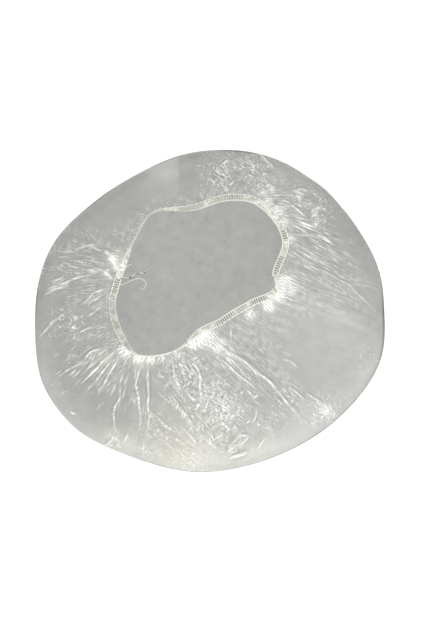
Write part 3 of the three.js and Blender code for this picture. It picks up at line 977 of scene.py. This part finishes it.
def elastic_band(material):
    """The elastic from one side of the splice right round to the other."""
    share = np.linspace(SPLICE_PLACE + SPLICE_REACH, SPLICE_PLACE + 1 - SPLICE_REACH, BAND_RINGS)
    strip = flat_strip(share, 0.0)
    turn = hem_turn(share)
    plain = np.repeat(plain_stretch(turn) * (1 - DULL_TAPE * dull_stretch(turn)), STRIP_SIDES)
    faces = strip_faces(BAND_RINGS, STRIP_SIDES)
    return add_piece("elastic_tape", strip, faces, material, {"plain": plain})


def elastic_splice(material):
    """The elastic's two ends, lapped: one lies on the film, and the other climbs onto it and skews."""
    lower = np.linspace(SPLICE_PLACE - SPLICE_REACH, SPLICE_PLACE + LAP_SHARE * SPLICE_REACH, LAP_RINGS)
    upper = np.linspace(SPLICE_PLACE - LAP_SHARE * SPLICE_REACH, SPLICE_PLACE + SPLICE_REACH, LAP_RINGS)
    climb = 1 - ease(np.linspace(0, 1, LAP_RINGS), 0.72, 1)
    first = flat_strip(lower, 0.0)
    second = flat_strip(upper, climb * (ELASTIC_THICKNESS + LAP_GAP), climb * LAP_SKEW)
    points = np.concatenate([first.reshape(-1, 3), second.reshape(-1, 3)])
    faces = strip_faces(LAP_RINGS, STRIP_SIDES) + strip_faces(LAP_RINGS, STRIP_SIDES, LAP_RINGS * STRIP_SIDES)
    return add_piece("elastic_lap", points, faces, material, {"plain": np.ones(len(points))})


def seam_lean(turn):
    """A direction at points of the seam that no thread there runs along: up, ahead and a little outwards."""
    plan = hem_ahead(turn)
    level = np.zeros(plan.shape[:-1] + (1,))
    ahead = np.concatenate([plan, level], -1)
    outward = np.stack([ahead[..., 1], -ahead[..., 0], ahead[..., 2]], -1)
    return UPWARDS + 0.6 * ahead + 0.35 * outward


def looper_thread(name, material, over, under, shift):
    """A looper thread of the overlock seam: it crosses the seam, turns along its edge and crosses back.

    Counted in bars b, it moves ahead by b plus BAR_PAUSE times sin(2 pi b) / 2 pi pitches, so that it stands
    nearly still while it crosses, and across by the hyperbolic tangent of a cosine of pi b, which is flat at
    the edges. Its height goes from over, where it crosses, to under at the film's edge. On the face it comes
    down at the other edge too. Along the edges it bulks out, less where the hem is rolled.
    """
    bars = 2 * int(round(HEM_LENGTH / (2 * STITCH_PITCH)))
    bar = np.arange(bars * BAR_POINTS) / BAR_POINTS
    share = (bar + BAR_PAUSE * np.sin(2 * np.pi * bar) / (2 * np.pi) + shift) / bars
    side = np.tanh(BAR_SQUARENESS * np.cos(np.pi * bar)) / np.tanh(BAR_SQUARENESS)
    turn = hem_turn(share)
    edge = np.abs(side) if over > under else -side
    height = over + (under - over) * ease(edge, 0.7, 1)
    path = seam(turn, side * (SEAM_WIDTH / 2), height)
    radius = THREAD_RADIUS * (1 + EDGE_BULK * np.cos(hem_roll(turn)) * ease(np.abs(side), 0.8, 1))
    points, faces = tube(path, radius, THREAD_SIDES, seam_lean(turn), True)
    # Painted shade greys the bars' middles where the seam lies plain; the seam's dull zones darken the whole
    # thread
    crossing = ease(-np.abs(side), -0.95, -0.7)
    shade_and_dulling = PLAIN_SHADE * plain_stretch(turn) * crossing + DULL_SHADE * dull_stretch(turn)
    return add_piece(name, points, faces, material, {"shade_and_dulling": np.repeat(shade_and_dulling, THREAD_SIDES)})


def needle_thread(material):
    """The needle thread: stitches along the seam's outer edge that dip into the film at each needle hole.

    Its height is the size of a sine of the stitches. One of its ends stands free at the splice.
    """
    stitches = int(round(HEM_LENGTH / STITCH_PITCH))
    stitch = np.arange(stitches * STITCH_POINTS) / STITCH_POINTS
    turn = hem_turn(stitch / stitches)
    height = NEEDLE_LOW + NEEDLE_RISE * np.abs(np.sin(np.pi * stitch))
    path = seam(turn, SEAM_WIDTH / 2 + NEEDLE_OUT, height)
    points, faces = tube(path, THREAD_RADIUS, THREAD_SIDES, seam_lean(turn), True)
    stub = thread_route(STUB_ROUTE, STUB_RISE, STUB_POINTS)
    more, ends = tube(stub, 0.8 * THREAD_RADIUS, THREAD_SIDES, UPWARDS, False, len(points))
    points = np.concatenate([points, more])
    shade = np.repeat(DULL_SHADE * dull_stretch(turn), THREAD_SIDES)
    shade_and_dulling = np.concatenate([shade, np.zeros(len(more))])
    return add_piece("seam_needle_thread", points, faces + ends, material, {"shade_and_dulling": shade_and_dulling})


def thread_route(route, rise, count):
    """Points of a thread end: a smooth line through its route, at heights above the elastic's middle."""
    level = SEAM_Z + ELASTIC_THICKNESS / 2
    points = [[x * MM, y * MM, level + z * MM] for (x, y), z in zip(route, rise)]
    return smooth_line(points, np.linspace(0, 1, count), False)


def chain_tail(material):
    """The chained thread tail: three threads twisted round its route.

    Painted shade darkens it where the threads touch, at beads along it and all along one side, away from the
    light.
    """
    path = thread_route(CHAIN_ROUTE, CHAIN_RISE, CHAIN_POINTS)
    walked = np.cumsum(np.linalg.norm(np.diff(path, axis=0, prepend=path[:1]), axis=1))
    ahead = unit(np.gradient(path, axis=0))
    aside = unit(np.cross(ahead, UPWARDS))
    over = np.cross(aside, ahead)
    points, faces, shade_and_dulling = np.zeros((0, 3)), [], []
    for strand in range(3):
        angle = 2 * np.pi * (walked / CHAIN_TWIST + strand / 3)
        away = np.cos(angle)[:, None] * over + np.sin(angle)[:, None] * aside
        line = path + STRAND_OFFSET * away
        rings, more = tube(line, THREAD_RADIUS, THREAD_SIDES, away, False, len(points))
        offset = rings.reshape(-1, THREAD_SIDES, 3) - path[:, None]
        # Painted shade where the strands touch, on the side away from the light and at beads
        inwards = -(offset * away[:, None]).sum(-1)
        shaded = ease((offset * aside[:, None]).sum(-1), 0, 0.15 * MM)
        beads = ease(np.cos(2 * np.pi * walked / BEAD_LENGTH), 0.5, 0.9)
        dark = np.maximum(ease(inwards, -0.3 * MM, 0.05 * MM), shaded)
        shade_and_dulling.append(np.maximum(dark, beads[:, None]).ravel())
        points = np.concatenate([points, rings])
        faces += more
    tail = add_piece("chained_thread_tail", points, faces, material, {"shade_and_dulling": np.concatenate(shade_and_dulling)})
    return tail, path, walked[-1]


def loose_thread_end(material):
    """The loose thread end: one thread that curls round over the opening."""
    path = thread_route(LOOSE_ROUTE, LOOSE_RISE, LOOSE_POINTS)
    length = np.linalg.norm(np.diff(path, axis=0), axis=1).sum()
    points, faces = tube(path, LOOSE_RADIUS, LOOSE_SIDES, UPWARDS, False)
    shade_and_dulling = np.full(len(points), LOOSE_SHADE)
    end = add_piece("loose_thread", points, faces, material, {"shade_and_dulling": shade_and_dulling})
    return end, path, length


# Camera, straight above the cap
CAMERA_HEIGHT = 1.6
SENSOR_HEIGHT = 36
view_height = PHOTO_HEIGHT * PIXEL
aim = spot(PHOTO_WIDTH / 2, PHOTO_HEIGHT / 2)
camera = bpy.data.objects.new("camera", bpy.data.cameras.new("camera"))
camera.data.sensor_fit = "VERTICAL"
camera.data.sensor_height = SENSOR_HEIGHT
camera.data.lens = SENSOR_HEIGHT * (CAMERA_HEIGHT - RIM_Z) / view_height
camera.location = (aim[0], aim[1], CAMERA_HEIGHT)
bpy.context.collection.objects.link(camera)
bpy.context.scene.camera = camera

# Thread ends
thread = spun_polyester()
tail, tail_path, tail_length = chain_tail(thread)
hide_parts("chain_tail")
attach(tail, "splice")
loose, loose_path, loose_length = loose_thread_end(thread)
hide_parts("loose_thread_end")
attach(loose, "splice")

# Elastic and seam
rubber = elastic_rubber()
lap = elastic_splice(rubber)
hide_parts("elastic_splice")
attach(lap, "splice")
band = elastic_band(rubber)
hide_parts("elastic_band")
upper = looper_thread("upper_looper", thread, *UPPER_LOOPER_HEIGHTS, 0)
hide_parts("upper_looper_thread")
lower = looper_thread("lower_looper", thread, *LOWER_LOOPER_HEIGHTS, 1)
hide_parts("lower_looper_thread")
needle = needle_thread(thread)
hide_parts("needle_thread")

# Film
film = polyethylene_film("polyethylene_film", 0.6, False)
creased_film = polyethylene_film("creased_polyethylene_film", 0.45, True)
crown = film_crown(film)
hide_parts("film_crown")
gathers = film_gathers(creased_film, film)
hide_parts("film_gathers")
for sheet in (crown, gathers):
    # Clear film lets the light through: it casts no shadow worth showing and tints nothing near it
    sheet.visible_shadow = False
    sheet.visible_diffuse = False

# What follows the joints: the crown's rim lifts with the hem, and the hem stretches towards the splice
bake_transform(crown, "crown", "hem", start=(0, 0, 1.5 * MM), end=(0, 0, 13 * MM))
stretch_start = (float(band_high[0]), 0, 0)
stretch_end = (float(seam(np.array([SPLICE_TURN]), 0.0, 0.0)[0, 0]), 0, 0)
for piece in (band, upper, lower, needle, gathers):
    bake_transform(piece, "hem", "splice", start=stretch_start, end=stretch_end)
# The gathers are drawn out along the hem, and less and less towards the rim
follow = np.zeros(len(gathers.data.vertices), np.float32)
hold = np.zeros_like(follow)
weights = gathers.data.attributes["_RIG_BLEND"].data
weights.foreach_get("value", follow)
gathers.data.attributes["hold"].data.foreach_get("value", hold)
weights.foreach_set("value", follow * hold**1.5)
gathers.data.attributes.remove(gathers.data.attributes["hold"])

# Floor and light
ground, ground_tree, ground_output = new_material("painted_white_table")
ground_shader = add_node(ground_tree, "ShaderNodeBsdfPrincipled", {
    "Base Color": linear("#F8F8F7"), "Roughness": 0.9})
ground_tree.links.new(ground_shader.outputs["BSDF"], ground_output.inputs["Surface"])
FLOOR_REACH = 3.0
corners = FLOOR_REACH * np.array([[-1, -1, 0], [1, -1, 0], [1, 1, 0], [-1, 1, 0]])
floor = add_piece("floor", corners, [[0, 1, 2, 3]], ground)

world = bpy.data.worlds.new("studio")
world.use_nodes = True
world.node_tree.nodes["Background"].inputs["Color"].default_value = (1, 1, 1, 1)
world.node_tree.nodes["Background"].inputs["Strength"].default_value = 0.85
bpy.context.scene.world = world
LAMP_DISTANCE = 1.6
LAMP_SIZE = 1.0
for azimuth, elevation, watts in ((280, 45, 10), (100, 55, 4)):
    lamp = bpy.data.objects.new("softbox", bpy.data.lights.new("softbox", "AREA"))
    lamp.data.energy = watts
    lamp.data.size = LAMP_SIZE
    away = np.radians(azimuth)
    up = np.radians(elevation)
    heading = np.array([np.cos(up) * np.cos(away), np.cos(up) * np.sin(away), np.sin(up)])
    lamp.location = LAMP_DISTANCE * heading
    lamp.rotation_euler = (np.pi / 2 - up, 0, away + np.pi / 2)
    bpy.context.collection.objects.link(lamp)
bpy.context.scene.view_settings.view_transform = "Standard"
